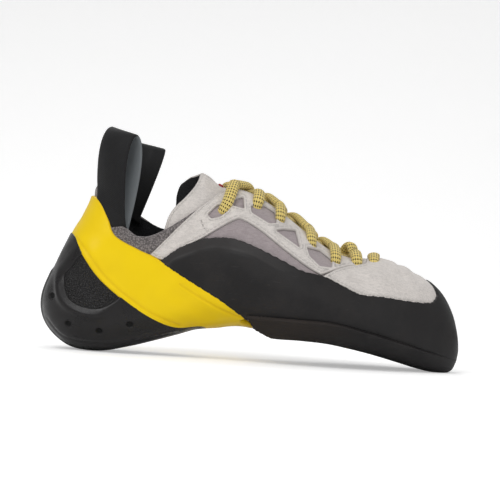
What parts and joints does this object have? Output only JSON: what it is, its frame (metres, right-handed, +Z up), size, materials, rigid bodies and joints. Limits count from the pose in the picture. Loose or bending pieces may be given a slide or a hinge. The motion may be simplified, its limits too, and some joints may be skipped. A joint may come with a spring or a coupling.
{
  "type": "climbing shoe",
  "caption": "Downturned lace-up climbing shoe for the right foot, with a rubber heel cup and toe rand, a tension band, a suede lattice beside the throat and two webbing pull loops.",
  "frame": {"origin": "under the middle of the shoe's box, on the floor it stands on", "axes": "+X from heel to toe, +Y to the medial side of this right shoe, +Z up"},
  "size_m": [0.2524, 0.091, 0.1339],
  "materials": {
    "suede_mauve": "mauve-grey suede, matt",
    "insole_cloth": "dark cloth, matt",
    "suede_light": "light grey suede, matt",
    "sole_rubber": "ground climbing rubber, matt",
    "rand_rubber": "smooth black rubber, satin",
    "band_rubber": "yellow rubber, satin",
    "cup_rubber": "moulded black rubber, slightly glossy",
    "webbing": "black woven webbing",
    "lace_cord": "braided yellow lace with dark dashes"
  },
  "bodies": {
    "root": {"upper": "suede_mauve", "insole": "insole_cloth", "tongue": "suede_light", "outsole": "sole_rubber", "toe_rand": "rand_rubber", "tension_band": "band_rubber", "heel_cup": "cup_rubber", "vamp": "suede_light", "eyestay_lateral": "suede_light", "eyestay_medial": "suede_light", "pull_loop_lateral": "webbing", "pull_loop_medial": "webbing", "lace": "lace_cord"}
  },
  "joints": []
}
